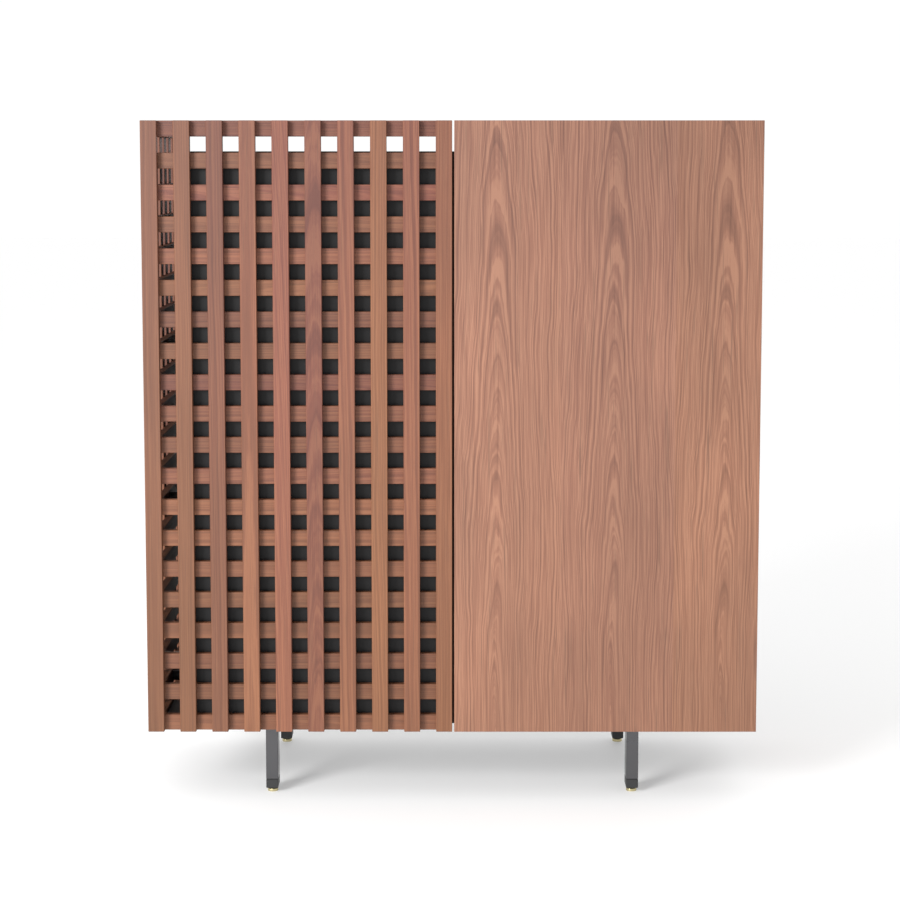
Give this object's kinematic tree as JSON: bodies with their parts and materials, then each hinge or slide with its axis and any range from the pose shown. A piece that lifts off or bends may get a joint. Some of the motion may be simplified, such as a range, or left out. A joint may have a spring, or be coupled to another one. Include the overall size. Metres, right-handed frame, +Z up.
{
  "type": "highboard cabinet",
  "caption": "Square highboard cabinet on slim metal legs: a walnut lattice door and lattice side on the left, a plain walnut door and side on the right, around a black box.",
  "frame": {"origin": "on the floor under the middle of the cabinet's outline", "axes": "+X to the right seen from the front, +Y towards the back, +Z up"},
  "size_m": [1.2, 0.45, 1.34],
  "materials": {
    "walnut_lattice": "oiled solid walnut",
    "walnut_veneer": "satin lacquered walnut veneer",
    "black_lacquer": "satin black lacquer on board",
    "leg_metal": "satin black nickel",
    "black_plastic": "moulded, fine grained",
    "glide_brass": "polished",
    "zinc_steel": "zinc plated"
  },
  "bodies": {
    "cabinet": {"back_left_leg": "leg_metal", "back_right_leg": "leg_metal", "box_back": "black_lacquer", "box_bottom": "black_lacquer", "box_left_side": "black_lacquer", "box_partition": "black_lacquer", "box_right_side": "black_lacquer", "box_screws": "zinc_steel", "box_top": "black_lacquer", "front_left_leg": "leg_metal", "front_right_leg": "leg_metal", "hinge_pins": "zinc_steel", "lattice_side_bar_1": "walnut_lattice", "lattice_side_bar_2": "walnut_lattice", "lattice_side_bar_3": "walnut_lattice", "lattice_side_bar_4": "walnut_lattice", "lattice_side_bar_5": "walnut_lattice", "lattice_side_bar_6": "walnut_lattice", "lattice_side_bar_7": "walnut_lattice", "lattice_side_rails": "walnut_lattice", "left_hinge_bottom_frame_leaf": "zinc_steel", "left_hinge_middle_frame_leaf": "zinc_steel", "left_hinge_top_frame_leaf": "zinc_steel", "left_lower_shelf": "black_lacquer", "left_upper_shelf": "black_lacquer", "leg_glides": "glide_brass", "leg_shoes": "black_plastic", "magnetic_catches": "black_plastic", "plain_side_board": "walnut_veneer", "right_hinge_bottom_frame_leaf": "zinc_steel", "right_hinge_middle_frame_leaf": "zinc_steel", "right_hinge_top_frame_leaf": "zinc_steel", "right_lower_shelf": "black_lacquer", "right_upper_shelf": "black_lacquer", "shelf_pins": "zinc_steel", "side_panel_spacers": "black_lacquer"},
    "lattice_door": {"lattice_door_backing": "black_lacquer", "lattice_door_bar_01": "walnut_lattice", "lattice_door_bar_02": "walnut_lattice", "lattice_door_bar_03": "walnut_lattice", "lattice_door_bar_04": "walnut_lattice", "lattice_door_bar_05": "walnut_lattice", "lattice_door_bar_06": "walnut_lattice", "lattice_door_bar_07": "walnut_lattice", "lattice_door_bar_08": "walnut_lattice", "lattice_door_bar_09": "walnut_lattice", "lattice_door_bar_10": "walnut_lattice", "lattice_door_hinge_screws": "zinc_steel", "lattice_door_rails": "walnut_lattice", "lattice_door_strike": "zinc_steel", "left_hinge_bottom_door_leaf": "zinc_steel", "left_hinge_middle_door_leaf": "zinc_steel", "left_hinge_top_door_leaf": "zinc_steel"},
    "plain_door": {"plain_door_backing": "black_lacquer", "plain_door_board": "walnut_veneer", "plain_door_hinge_screws": "zinc_steel", "plain_door_strike": "zinc_steel", "right_hinge_bottom_door_leaf": "zinc_steel", "right_hinge_middle_door_leaf": "zinc_steel", "right_hinge_top_door_leaf": "zinc_steel"}
  },
  "joints": [
    {"name": "lattice_door_hinge", "type": "hinge", "parent": "cabinet", "child": "lattice_door", "pos_m": [-0.594, -0.201, 0.74], "axis": [0, 0, -1], "range_deg": [0, 105]},
    {"name": "plain_door_hinge", "type": "hinge", "parent": "cabinet", "child": "plain_door", "pos_m": [0.594, -0.201, 0.74], "axis": [0, 0, 1], "range_deg": [0, 105]}
  ]
}
